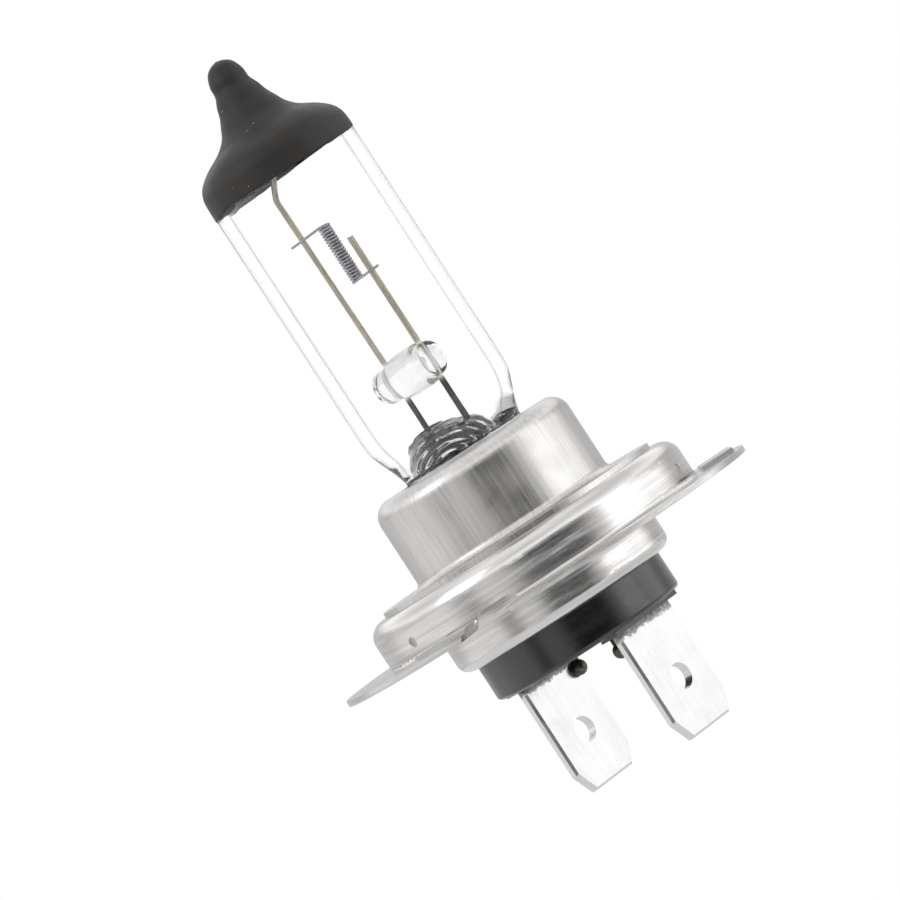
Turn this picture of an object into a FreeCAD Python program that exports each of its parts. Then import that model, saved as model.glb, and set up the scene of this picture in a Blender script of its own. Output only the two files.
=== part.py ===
"""A single-filament halogen headlight bulb with a prefocus ring and two flat blades.

Millimetres. Z is the lamp's axis and points to the glass tip. The origin is on that axis, in the
reference plane: the plane of the three raised lands on which the bulb sits in its reflector. The
blades stand face to face along X, and are as wide as they are along Y.
"""
import FreeCAD, Part
import math
import os
import re

import Sketcher

Vector = FreeCAD.Vector

# Driving dimensions. "up" is a height above the reference plane, and "down" a depth below it. A size
# that starts with "=" is set from other sizes, so that the pieces that meet there stay together.
SIZES = {
    # quartz envelope
    "glass_radius": 6.0,
    "glass_wall": 0.93,
    "glass_shoulder_up": 36.13,
    "tip_foot_radius": 2.89,
    "tip_foot_up": "=glass_shoulder_up + 1.72",
    "tip_radius": 1.32,
    "tip_neck_up": "=glass_shoulder_up + 5.07",
    "tip_top_up": "=glass_shoulder_up + 7.16",
    "glass_shoulder_round": 2.3,
    "tip_foot_round": 2.6,
    "tip_end_round": 1.25,
    "taper_start_up": "=collar_top_up + 3.6",
    "taper_round": 4.0,
    "neck_radius": "=glass_radius - 1.15",
    "neck_up": "=collar_top_up",
    "pinch_top_up": "=collar_top_up - 1",
    "pinch_bottom_up": 0.9,
    "pinch_width": "=2 * neck_radius - 0.3",
    "pinch_thickness": 4.2,
    "dome_radius": 4.9,
    "dome_up": "=collar_top_up + 3.1",
    "dome_offset": 1.2,
    "dome_foot_radius": "=neck_radius - 0.65",
    "dome_foot_up": "=collar_top_up + 0.7",
    # dark coating on the glass tip
    "coat_thickness": 0.06,
    "coat_edge_up": "=glass_shoulder_up - 2.13",
    # filament and the wires that carry it
    "coil_radius": 0.525,
    "coil_wire_radius": 0.085,
    "coil_middle_up": 26.89,
    "coil_leg_spacing": 4.65,
    "coil_offset": 0.4,
    "leg_overhang": 1.2,
    "wire_radius": 0.23,
    "wire_spacing": 4.1,
    "wire_lean": 0.3,
    "wire_end_up": 7.0,
    "short_wire_top_up": "=coil_middle_up + 0.56",
    "long_wire_bend_up": "=glass_shoulder_up - 3.5",
    "long_wire_top_up": "=glass_shoulder_up - 0.73",
    "long_wire_top_offset": 0.45,
    # glass bridge across the two wires
    "bridge_radius": 1.75,
    "bridge_up": 17.0,
    "bridge_left": "=glass_radius - 2",
    "bridge_right": "=glass_radius - 2.9",
    "bridge_round": 0.6,
    # foils and outer leads
    "foil_width": 1.8,
    "foil_thickness": 0.08,
    "foil_bottom_up": 2.6,
    "foil_top_up": 7.6,
    "lead_radius": 0.3,
    "lead_top_up": 3.6,
    "lead_bend_up": 0.25,
    "lead_spread_down": 0.35,
    "lead_side": "=blade_width / 2 - 0.55",
    "lead_end_down": 7.7,
    "lead_bend_radius": 0.7,
    "weld_radius": 0.6,
    # collar sleeve and the clip inside it
    "collar_radius": 8.05,
    "collar_sheet": 0.35,
    "collar_top_up": 10.2,
    "collar_round": 1.4,
    "collar_hole_gap": 0.4,
    "foot_radius": "=ring_radius - 1.7",
    "foot_sheet": 0.4,
    "foot_round": 0.6,
    "clip_sheet": 0.3,
    "clip_gap": 0.05,
    "clip_top_up": "=collar_top_up - 1.8",
    # prefocus ring
    "ring_radius": 13.0,
    "ring_top_up": 3.1,
    "ring_sheet": 0.5,
    "ring_round": 1.3,
    "ring_bend": 0.3,
    "ring_hole_radius": "=collar_radius - 0.3",
    "plate_radius": "=ring_radius + 3.95",
    "plate_sheet": 0.42,
    "land_height": 0.35,
    "land_inner_radius": "=ring_radius + 0.75",
    "land_outer_radius": "=ring_radius + 3.4",
    "land_half_angle": 11.0,
    "land_first_angle": 46.0,
    "notch_angle": -62.5,
    "notch_radius": 2.35,
    "notch_middle_down": 1.75,
    "dimple_radius": 0.4,
    "dimple_depth": 0.12,
    "dimple_up": 0.85,
    "dimple_first_angle": 23.0,
    "nugget_height": 0.08,
    # rear shell
    "shell_radius": 8.9,
    "shell_sheet": 0.35,
    "shell_bottom_down": 3.45,
    "shell_round": 0.9,
    "shell_flare_up": 0.2,
    "shell_rim_up": "=ring_top_up - 1.6",
    # insulator
    "insulator_radius": "=shell_radius - 1.2",
    "insulator_gap": 0.05,
    "insulator_bottom_down": 6.35,
    "insulator_top_down": 0.9,
    "insulator_round": 0.35,
    "lip_height": 0.3,
    "lip_width": 0.5,
    # blades
    "blade_spacing": 11.3,
    "blade_width": 6.3,
    "blade_thickness": 0.8,
    "blade_end_down": 15.7,
    "blade_root_down": 2.0,
    "blade_taper": 1.7,
    "blade_tip_width": "=blade_width - 1.8",
    "blade_coin": 0.18,
    "blade_hole_radius": 1.0,
    "blade_hole_from_end": 4.1,
    "slot_gap": 0.03,
}
LANDS = 3

os.makedirs("parts", exist_ok=True)
doc = FreeCAD.newDocument("headlight_bulb")
sheet = doc.addObject("Spreadsheet::Sheet", "sizes")
for row, alias in enumerate(SIZES, start=1):
    sheet.set(f"A{row}", alias)
    sheet.setAlias(f"B{row}", alias)
for row, content in enumerate(SIZES.values(), start=1):
    sheet.set(f"B{row}", str(content))
doc.recompute()


def bound(expression):
    """The expression with each size's name turned into a reference to its cell."""
    return re.sub(r"[a-z_]+", lambda word: cell_reference(word.group()), expression)


def cell_reference(word):
    return f"sizes.{word}" if word in SIZES else word


def value(expression):
    return float(sheet.evalExpression(bound(expression)))


def drive(thing, prop, expression):
    thing.setExpression(prop, bound(expression))


# ---- sketches and bodies ----


def new_body(name):
    body = doc.addObject("PartDesign::Body", name)
    body.Label = name
    return body


def new_sketch(body, name, role, offset="0"):
    """A sketch on one of the body's own origin planes, moved along the plane's normal."""
    sketch = body.newObject("Sketcher::SketchObject", name)
    plane = next(item for item in body.Origin.OriginFeatures if item.Role == role)
    sketch.AttachmentSupport = [(plane, "")]
    sketch.MapMode = "FlatFace"
    drive(sketch, "AttachmentOffset.Base.z", offset)
    return sketch


def pin_point(sketch, edge, end, across, up):
    """Holds one end of an edge at a place given by two expressions."""
    for kind, expression in (("DistanceX", across), ("DistanceY", up)):
        index = sketch.addConstraint(Sketcher.Constraint(kind, -1, 1, edge, end, value(expression)))
        name = f"{kind}_{edge}"
        sketch.renameConstraint(index, name)
        drive(sketch, f"Constraints.{name}", expression)


def outline(sketch, corners):
    """A closed loop of straight edges, each corner given by two expressions."""
    places = [Vector(value(across), value(up), 0) for across, up in corners]
    count = len(corners)
    first = sketch.GeometryCount
    for i, place in enumerate(places):
        sketch.addGeometry(Part.LineSegment(place, places[(i + 1) % count]), False)
    for i in range(count):
        following = first + (i + 1) % count
        sketch.addConstraint(Sketcher.Constraint("Coincident", first + i, 2, following, 1))
    for i, (across, up) in enumerate(corners):
        pin_point(sketch, first + i, 1, across, up)


def circle(sketch, across, up, radius):
    middle = Vector(value(across), value(up), 0)
    edge = sketch.addGeometry(Part.Circle(middle, Vector(0, 0, 1), value(radius)), False)
    pin_point(sketch, edge, 3, across, up)
    index = sketch.addConstraint(Sketcher.Constraint("Radius", edge, value(radius)))
    name = f"Radius_{edge}"
    sketch.renameConstraint(index, name)
    drive(sketch, f"Constraints.{name}", radius)


def box_corners(left, right, bottom, top):
    return [(left, bottom), (right, bottom), (right, top), (left, top)]


def revolve(body, corners):
    """Turns a profile of (radius, height) corners about the lamp's axis."""
    sketch = new_sketch(body, f"{body.Name}_profile", "XZ_Plane")
    outline(sketch, corners)
    turned = body.newObject("PartDesign::Revolution", f"{body.Name}_turned")
    turned.Profile = sketch
    turned.ReferenceAxis = (sketch, ["V_Axis"])
    turned.Angle = 360
    doc.recompute()
    return turned


def pad(body, sketch, length):
    solid = body.newObject("PartDesign::Pad", f"{sketch.Name}_pad")
    solid.Profile = sketch
    drive(solid, "Length", length)
    doc.recompute()
    return solid


def pocket(body, sketch, length, reverse=False):
    """Cuts a sketch out of the body and checks that the cut took material away."""
    before = body.Shape.Volume
    cut = body.newObject("PartDesign::Pocket", f"{sketch.Name}_pocket")
    cut.Profile = sketch
    cut.Reversed = reverse
    drive(cut, "Length", length)
    doc.recompute()
    if body.Shape.Volume >= before:
        raise RuntimeError(f"{cut.Name} cuts nothing")
    return cut


def round_edges(body, radius, chosen, kind="Fillet"):
    """Fillets or chamfers those edges of the body's tip for which chosen(edge) is true."""
    base = body.Tip
    names = [f"Edge{i}" for i, edge in enumerate(base.Shape.Edges, start=1) if chosen(edge)]
    if not names:
        raise RuntimeError(f"{body.Name} has no edge to round by {radius}")
    smooth = body.newObject(f"PartDesign::{kind}", f"{body.Name}_{kind}_{len(body.Group)}")
    smooth.Base = (base, names)
    drive(smooth, "Radius" if kind == "Fillet" else "Size", radius)
    doc.recompute()
    return smooth


def ring_at(radius, up):
    """Picks the full circle of that radius and height about the lamp's axis."""
    wanted_radius, wanted_up = value(radius), value(up)

    def chosen(edge):
        if not isinstance(edge.Curve, Part.Circle):
            return False
        middle = edge.Curve.Center
        return (
            abs(edge.Curve.Radius - wanted_radius) < 1e-4
            and abs(middle.z - wanted_up) < 1e-4
            and math.hypot(middle.x, middle.y) < 1e-4
        )

    return chosen


def repeat_around(body, feature):
    """Repeats a feature at equal steps around the lamp's axis."""
    axis = next(item for item in body.Origin.OriginFeatures if item.Role == "Z_Axis")
    pattern = body.newObject("PartDesign::PolarPattern", f"{feature.Name}_around")
    pattern.Originals = [feature]
    pattern.Axis = (axis, [""])
    pattern.Angle = 360
    pattern.Occurrences = LANDS
    body.Tip = pattern
    doc.recompute()
    return pattern


def boolean(kind, name, base, tool):
    result = doc.addObject(f"Part::{kind}", name)
    result.Base = base
    result.Tool = tool
    result.Label = name
    doc.recompute()
    return result


def fused(name, pieces):
    result = doc.addObject("Part::MultiFuse", name)
    result.Shapes = pieces
    doc.recompute()
    return result


def fixed_shape(name, shape):
    """A piece whose shape comes straight from Part's own functions."""
    piece = doc.addObject("Part::Feature", name)
    piece.Label = name
    piece.Shape = shape
    return piece


# ---- quartz envelope ----


def tip_corners(extra):
    """The glass's outer corners from its shoulder to the axis, moved out and up by extra."""
    return [
        (f"glass_radius + {extra}", f"glass_shoulder_up + {extra}"),
        (f"tip_foot_radius + {extra}", f"tip_foot_up + {extra}"),
        (f"tip_radius + {extra}", f"tip_neck_up + {extra}"),
        (f"tip_radius + {extra}", f"tip_top_up + {extra}"),
        ("0", f"tip_top_up + {extra}"),
    ]


def round_tip(body, extra):
    """Rounds the shoulder, the foot of the tip and its end."""
    shoulder, foot, _, end, _ = tip_corners(extra)
    round_edges(body, f"glass_shoulder_round + {extra}", ring_at(*shoulder))
    round_edges(body, "tip_foot_round", ring_at(*foot))
    round_edges(body, f"tip_end_round + {extra}", ring_at(*end))


def glass_outside():
    body = new_body("glass_outside")
    revolve(
        body,
        [
            ("0", "pinch_top_up"),
            ("neck_radius", "pinch_top_up"),
            ("neck_radius", "neck_up"),
            ("glass_radius", "taper_start_up"),
        ]
        + tip_corners("0"),
    )
    round_tip(body, "0")
    round_edges(body, "taper_round", ring_at("glass_radius", "taper_start_up"))
    return body


def glass_pinch():
    """The flat press seal below the round glass."""
    block = doc.addObject("Part::Box", "glass_pinch")
    drive(block, "Length", "pinch_width")
    drive(block, "Width", "pinch_thickness")
    drive(block, "Height", "pinch_top_up - pinch_bottom_up")
    drive(block, "Placement.Base.x", "-1 * pinch_width / 2")
    drive(block, "Placement.Base.y", "-1 * pinch_thickness / 2")
    drive(block, "Placement.Base.z", "pinch_bottom_up")
    return block


def gas_space():
    """The sealed space inside, whose floor is a dome of glass above the press seal."""
    gas_radius = "( glass_radius - glass_wall )"
    outside = new_body("gas_outside")
    revolve(
        outside,
        [
            ("0", "dome_foot_up"),
            ("dome_foot_radius", "dome_foot_up"),
            (gas_radius, "taper_start_up"),
            (gas_radius, "glass_shoulder_up - glass_wall * 0.6"),
            ("tip_foot_radius - glass_wall", "tip_foot_up - glass_wall"),
            ("0", "tip_foot_up - glass_wall"),
        ],
    )
    dome = doc.addObject("Part::Sphere", "gas_floor_dome")
    drive(dome, "Radius", "dome_radius")
    drive(dome, "Placement.Base.x", "-1 * dome_offset")
    drive(dome, "Placement.Base.z", "dome_up - dome_radius")
    return boolean("Cut", "gas_space", outside, dome)


def tip_coating(glass):
    """A thin dark skin over the glass tip."""
    body = new_body("coating_outside")
    skin = "coat_thickness"
    revolve(
        body,
        [("0", "coat_edge_up"), (f"glass_radius + {skin}", "coat_edge_up")] + tip_corners(skin),
    )
    round_tip(body, skin)
    return boolean("Cut", "tip_coating", body, glass)


# ---- wires ----


def bent_path(points, radius):
    """Straight runs through the points, joined by tangent arcs."""
    edges = []
    start = points[0]
    for before, corner, after in zip(points, points[1:], points[2:]):
        inward = (before - corner).normalize()
        outward = (after - corner).normalize()
        turn = math.pi - inward.getAngle(outward)
        cut = radius * math.tan(turn / 2)
        first = corner + inward * cut
        last = corner + outward * cut
        bulge = (inward + outward).normalize()
        middle = corner + bulge * (radius / math.cos(turn / 2) - radius)
        edges.append(Part.LineSegment(start, first).toShape())
        edges.append(Part.Arc(first, middle, last).toShape())
        start = last
    edges.append(Part.LineSegment(start, points[-1]).toShape())
    return Part.Wire(edges)


def round_wire(points, radius, bend):
    """A round wire along a bent path."""
    path = bent_path(points, bend)
    section = Part.Wire(Part.Circle(points[0], points[1] - points[0], radius).toShape())
    return path.makePipeShell([section], True, False)


def support_wires():
    """The long wire reaches into the tip, and the short one ends beside the coil."""
    half = value("wire_spacing") / 2
    radius = value("wire_radius")
    lean = value("wire_lean")
    bottom = value("wire_end_up")
    bridge = value("bridge_up")
    bend_up = value("long_wire_bend_up")
    bend = 4 * radius
    long_points = [
        Vector(-half, 0, bottom),
        Vector(-half, 0, bridge),
        Vector(-half - lean, 0, bend_up),
        Vector(-value("long_wire_top_offset"), 0, value("long_wire_top_up")),
    ]
    short_points = [Vector(half, 0, bottom), Vector(half, 0, value("short_wire_top_up"))]
    long_wire = fixed_shape("support_wire_long", round_wire(long_points, radius, bend))
    short_wire = fixed_shape("support_wire_short", round_wire(short_points, radius, bend))
    return long_wire, short_wire


def leg(name, up, reach):
    """One straight end of the filament, which lies on the front of its support wire."""
    piece = doc.addObject("Part::Cylinder", name)
    drive(piece, "Radius", "coil_wire_radius")
    drive(piece, "Height", f"{reach} - coil_radius / 2")
    piece.Placement.Rotation = FreeCAD.Rotation(Vector(0, 1, 0), 90)
    drive(piece, "Placement.Base.y", "-1 * ( wire_radius + coil_wire_radius )")
    drive(piece, "Placement.Base.z", up)
    return piece


def filament():
    """The coil as a tube of its own outline, with a straight leg at each end."""
    half = "coil_leg_spacing / 2"
    outer = doc.addObject("Part::Cylinder", "coil_outside")
    drive(outer, "Radius", "coil_radius")
    inner = doc.addObject("Part::Cylinder", "coil_inside")
    drive(inner, "Radius", "coil_radius - 2 * coil_wire_radius")
    for piece in (outer, inner):
        drive(piece, "Height", "coil_leg_spacing + 2 * coil_wire_radius")
        drive(piece, "Placement.Base.x", "coil_offset")
        drive(piece, "Placement.Base.z", f"coil_middle_up - {half} - coil_wire_radius")
    tube = boolean("Cut", "coil_tube", outer, inner)
    reach = "wire_spacing / 2 + leg_overhang"
    upper = leg("leg_upper", f"coil_middle_up + {half}", f"{reach} + coil_offset")
    lower = leg("leg_lower", f"coil_middle_up - {half}", f"{reach} - coil_offset")
    drive(upper, "Placement.Base.x", f"-1 * ( {reach} )")
    drive(lower, "Placement.Base.x", "coil_offset + coil_radius / 2")
    whole = fused("filament", [tube, upper, lower])
    whole.Label = "filament"
    return whole


def glass_bridge(wires):
    """A clear rod melted across both support wires."""
    body = new_body("bridge_rod")
    sketch = new_sketch(body, "bridge_end", "YZ_Plane", "-1 * bridge_left")
    circle(sketch, "0", "bridge_up", "bridge_radius")
    pad(body, sketch, "bridge_left + bridge_right")
    round_edges(body, "bridge_round", lambda edge: isinstance(edge.Curve, Part.Circle))
    return boolean("Cut", "glass_bridge", body, wires)


def seal_foils():
    foils = []
    for letter, side in (("a", "-1"), ("b", "1")):
        foil = doc.addObject("Part::Box", f"seal_foil_{letter}")
        foil.Label = foil.Name
        drive(foil, "Length", "foil_width")
        drive(foil, "Width", "foil_thickness")
        drive(foil, "Height", "foil_top_up - foil_bottom_up")
        drive(foil, "Placement.Base.x", f"{side} * wire_spacing / 2 - foil_width / 2")
        drive(foil, "Placement.Base.y", "wire_radius")
        drive(foil, "Placement.Base.z", "foil_bottom_up")
        foils.append(foil)
    return foils


def lead_wires():
    """Each lead leaves the press seal, spreads to its blade and runs down the blade's inner face."""
    radius = value("lead_radius")
    along = value("wire_radius") - radius
    inner_face = value("blade_spacing - blade_thickness") / 2
    leads = []
    for letter, side in (("a", -1), ("b", 1)):
        seal = Vector(side * value("wire_spacing") / 2, along, value("lead_top_up"))
        blade = Vector(side * (inner_face - radius), -side * value("lead_side"), 0)
        points = [
            seal,
            Vector(seal.x, seal.y, value("lead_bend_up")),
            Vector(blade.x, blade.y, -value("lead_spread_down")),
            Vector(blade.x, blade.y, -value("lead_end_down")),
        ]
        shape = round_wire(points, radius, value("lead_bend_radius"))
        leads.append(fixed_shape(f"lead_wire_{letter}", shape))
    return leads


# ---- sheet-metal base ----


def collar():
    body = new_body("collar")
    inner = "collar_radius - collar_sheet"
    hole = "neck_radius + collar_hole_gap"
    under = "collar_top_up - collar_sheet"
    revolve(
        body,
        [
            (hole, "collar_top_up"),
            ("collar_radius", "collar_top_up"),
            ("collar_radius", "ring_top_up + foot_sheet"),
            ("foot_radius", "ring_top_up + foot_sheet"),
            ("foot_radius", "ring_top_up"),
            (inner, "ring_top_up"),
            (inner, under),
            (hole, under),
        ],
    )
    round_edges(body, "collar_round", ring_at("collar_radius", "collar_top_up"))
    round_edges(body, "collar_round - collar_sheet", ring_at(inner, under))
    round_edges(body, "foot_round", ring_at("collar_radius", "ring_top_up + foot_sheet"))
    return body


def pinch_clip():
    """A pressed clip: a disc welded in the collar's foot, with a sleeve that grips the press seal."""
    body = new_body("pinch_clip")
    disc = new_sketch(body, "clip_disc", "XY_Plane", "ring_top_up")
    circle(disc, "0", "0", "collar_radius - collar_sheet")
    pad(body, disc, "clip_sheet")
    for name, wall, reach in (("clip_sleeve", "clip_sheet", 1), ("clip_opening", "0", -1)):
        half_x = f"( pinch_width / 2 + clip_gap + {wall} )"
        half_y = f"( pinch_thickness / 2 + clip_gap + {wall} )"
        sketch = new_sketch(body, name, "XY_Plane", "ring_top_up")
        outline(sketch, box_corners(f"-1 * {half_x}", half_x, f"-1 * {half_y}", half_y))
        if reach > 0:
            pad(body, sketch, "clip_top_up - ring_top_up")
        else:
            pocket(body, sketch, "clip_top_up - ring_top_up", reverse=True)
    return body


def around(radius, up, angle):
    """A point at a radius and height, at an angle in degrees about the lamp's axis."""
    turn = math.radians(angle)
    return Vector(radius * math.cos(turn), radius * math.sin(turn), up)


def dimple_angles():
    first = value("dimple_first_angle")
    return [first + 360 / LANDS * i for i in range(LANDS)]


def radial_pin(name, angle, start, length):
    """A small round pin that points outwards from the cup's wall."""
    piece = doc.addObject("Part::Cylinder", name)
    drive(piece, "Radius", "dimple_radius")
    drive(piece, "Height", length)
    piece.Placement = radial_placement(value(start), value("dimple_up"), angle)
    return piece


def radial_placement(radius, up, angle):
    """A placement that turns Z to point outwards at an angle about the lamp's axis."""
    turned = FreeCAD.Rotation(Vector(0, 0, 1), around(1, 0, angle))
    return FreeCAD.Placement(around(radius, up, angle), turned)


def notch_cutter():
    """A round cutter along a radius: it notches the plate and leaves an arch in the cup's wall."""
    cutter = doc.addObject("Part::Cylinder", "notch_cutter")
    drive(cutter, "Radius", "notch_radius")
    drive(cutter, "Height", "plate_radius - ring_radius + 2 * ring_sheet")
    start = value("ring_radius - 1.5 * ring_sheet")
    angle = value("notch_angle")
    cutter.Placement = radial_placement(start, value("-1 * notch_middle_down"), angle)
    return cutter


def ring_pressing():
    """The locating cup and the flange plate, with three raised lands."""
    body = new_body("ring_pressing")
    top = "ring_top_up"
    inner = "( ring_radius - ring_sheet )"
    plate_top = "-1 * land_height"
    plate_under = "-1 * land_height - plate_sheet"
    revolve(
        body,
        [
            ("ring_hole_radius", top),
            ("ring_radius", top),
            ("ring_radius", plate_top),
            ("plate_radius", plate_top),
            ("plate_radius", plate_under),
            (inner, plate_under),
            (inner, f"{top} - ring_sheet"),
            ("ring_hole_radius", f"{top} - ring_sheet"),
        ],
    )
    round_edges(body, "ring_round", ring_at("ring_radius", top))
    round_edges(body, "ring_round - ring_sheet", ring_at(inner, f"{top} - ring_sheet"))
    round_edges(body, "ring_bend", ring_at("ring_radius", plate_top))
    round_edges(body, "ring_bend", ring_at(inner, plate_under))
    sketch = new_sketch(body, "land", "XY_Plane", plate_top)
    low_angle = "( land_first_angle - land_half_angle )"
    high_angle = "( land_first_angle + land_half_angle )"
    near, far = "land_inner_radius", "land_outer_radius"
    order = [(near, low_angle), (far, low_angle), (far, high_angle), (near, high_angle)]
    outline(sketch, [(f"{r} * cos({a})", f"{r} * sin({a})") for r, a in order])
    land = pad(body, sketch, "land_height")
    repeat_around(body, land)
    return body


def prefocus_ring():
    """The pressing with its coding notch and the weld dimples in its wall."""
    cuts = [notch_cutter()]
    for i, angle in enumerate(dimple_angles(), start=1):
        start = "ring_radius - dimple_depth"
        cuts.append(radial_pin(f"dimple_{i}", angle, start, "2 * dimple_depth"))
    return boolean("Cut", "prefocus_ring", ring_pressing(), fused("ring_cuts", cuts))


def spot_welds():
    """A low nugget on the floor of each dimple."""
    welds = []
    for i, angle in enumerate(dimple_angles(), start=1):
        start = "ring_radius - dimple_depth"
        welds.append(radial_pin(f"ring_spot_weld_{i}", angle, start, "nugget_height"))
    return welds


def rear_shell():
    """A turned-out cup: its rim is welded inside the ring, and its lip holds the insulator."""
    body = new_body("rear_shell")
    inner = "( shell_radius - shell_sheet )"
    rim = "( ring_radius - ring_sheet )"
    bottom = "-1 * shell_bottom_down"
    lip = "insulator_radius + insulator_gap"
    revolve(
        body,
        [
            (lip, bottom),
            ("shell_radius", bottom),
            ("shell_radius", "shell_flare_up"),
            (rim, "shell_flare_up"),
            (rim, "shell_rim_up"),
            (f"{rim} - shell_sheet", "shell_rim_up"),
            (f"{rim} - shell_sheet", "shell_flare_up + shell_sheet"),
            (inner, "shell_flare_up + shell_sheet"),
            (inner, f"{bottom} + shell_sheet"),
            (lip, f"{bottom} + shell_sheet"),
        ],
    )
    round_edges(body, "shell_round", ring_at("shell_radius", bottom))
    round_edges(body, "shell_round - shell_sheet", ring_at(inner, f"{bottom} + shell_sheet"))
    return body


# ---- insulator and blades ----


def blade_box(sketch, gap):
    """The blade's cross-section with a gap all round, drawn at +X and at -X."""
    half_y = f"( blade_width / 2 + {gap} )"
    near = f"( blade_spacing / 2 - blade_thickness / 2 - {gap} )"
    far = f"( blade_spacing / 2 + blade_thickness / 2 + {gap} )"
    outline(sketch, box_corners(near, far, f"-1 * {half_y}", half_y))
    outline(sketch, box_corners(f"-1 * {far}", f"-1 * {near}", f"-1 * {half_y}", half_y))


def insulator():
    """The black base, held by the shell's lip, with a slot and a lead hole for each blade."""
    body = new_body("insulator")
    bottom, top = "-1 * insulator_bottom_down", "-1 * insulator_top_down"
    seat = "-1 * shell_bottom_down + shell_round + insulator_gap"
    shoulder = "shell_radius - shell_sheet - insulator_gap"
    revolve(
        body,
        [
            ("0", bottom),
            ("insulator_radius", bottom),
            ("insulator_radius", seat),
            (shoulder, seat),
            (shoulder, top),
            ("0", top),
        ],
    )
    round_edges(body, "insulator_round", ring_at("insulator_radius", bottom))
    lips = new_sketch(body, "slot_lips", "XY_Plane", f"{bottom} - lip_height")
    blade_box(lips, "lip_width")
    pad(body, lips, "2 * lip_height")
    lip_bottom = f"{bottom} - lip_height"
    slots = new_sketch(body, "slots", "XY_Plane", lip_bottom)
    blade_box(slots, "slot_gap")
    pocket(body, slots, "insulator_bottom_down + lip_height - blade_root_down", reverse=True)
    holes = new_sketch(body, "lead_holes", "XY_Plane", lip_bottom)
    across = "( blade_spacing / 2 - blade_thickness / 2 - lead_radius )"
    circle(holes, across, "-1 * lead_side", "lead_radius")
    circle(holes, f"-1 * {across}", "lead_side", "lead_radius")
    pocket(body, holes, "insulator_bottom_down + lip_height", reverse=True)
    return body


def blade(letter, side):
    """A flat tab with a tapered, coined end and a round detent hole."""
    body = new_body(f"blade_{letter}")
    near = f"{side} * blade_spacing / 2 - blade_thickness / 2"
    end, root = "-1 * blade_end_down", "-1 * blade_root_down"
    taper_up = "-1 * blade_end_down + blade_taper"
    face = new_sketch(body, f"blade_{letter}_face", "YZ_Plane", near)
    outline(
        face,
        [
            ("-1 * blade_tip_width / 2", end),
            ("blade_tip_width / 2", end),
            ("blade_width / 2", taper_up),
            ("blade_width / 2", root),
            ("-1 * blade_width / 2", root),
            ("-1 * blade_width / 2", taper_up),
        ],
    )
    pad(body, face, "blade_thickness")
    root_up = value(root)

    def coined(edge):
        """The edges of both faces, other than those at the root."""
        on_face = abs(edge.BoundBox.XLength) < 1e-6
        return on_face and edge.BoundBox.ZMin < root_up - 1e-6

    round_edges(body, "blade_coin", coined, kind="Chamfer")
    hole = new_sketch(body, f"blade_{letter}_hole", "YZ_Plane", near)
    circle(hole, "0", "-1 * blade_end_down + blade_hole_from_end", "blade_hole_radius")
    pocket(body, hole, "blade_thickness", reverse=True)
    return body


def lead_weld(letter, side, blade_piece, lead):
    """A lump of weld metal that joins the lead's end to its blade."""
    ball = doc.addObject("Part::Sphere", f"weld_ball_{letter}")
    drive(ball, "Radius", "weld_radius")
    inner_face = "blade_spacing / 2 - blade_thickness / 2"
    drive(ball, "Placement.Base.x", f"{side} * ( {inner_face} - lead_radius )")
    drive(ball, "Placement.Base.y", f"-1 * {side} * lead_side")
    drive(ball, "Placement.Base.z", "-1 * lead_end_down")
    beside_blade = boolean("Cut", f"weld_beside_blade_{letter}", ball, blade_piece)
    return boolean("Cut", f"lead_weld_{letter}", beside_blade, lead)


# ---- assembly ----


def check(piece):
    """Stops on a failed, empty or broken piece."""
    if "Invalid" in piece.State or "Error" in piece.State:
        raise RuntimeError(f"{piece.Name} failed: {piece.State}")


def build():
    glass_form = fused("glass_form", [glass_outside(), glass_pinch()])
    long_wire, short_wire = support_wires()
    both_wires = fused("both_wires", [long_wire, short_wire])
    foils = seal_foils()
    leads = lead_wires()
    hollow = fused("glass_hollows", [gas_space(), long_wire, short_wire] + foils + leads)
    pieces = [
        boolean("Cut", "glass_envelope", glass_form, hollow),
        tip_coating(glass_form),
        filament(),
        long_wire,
        short_wire,
        glass_bridge(both_wires),
        collar(),
        pinch_clip(),
        prefocus_ring(),
        rear_shell(),
        insulator(),
    ]
    for letter, side, lead in zip("ab", ("-1", "1"), leads):
        tab = blade(letter, side)
        pieces += [tab, lead_weld(letter, side, tab, lead)]
    return pieces + foils + leads + spot_welds()


pieces = build()
doc.recompute()
for item in doc.Objects:
    check(item)
for piece in pieces:
    shape = piece.Shape
    if shape.isNull() or not shape.isValid() or len(shape.Solids) != 1:
        raise RuntimeError(f"{piece.Label} is not one valid solid")
for piece in pieces:
    piece.Shape.exportStep(f"parts/{piece.Label}.step")
    print(f"{piece.Label}: {piece.Shape.Volume:.2f} mm3")
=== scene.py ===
import math

import bpy
from mathutils import Matrix, Vector, noise


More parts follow.
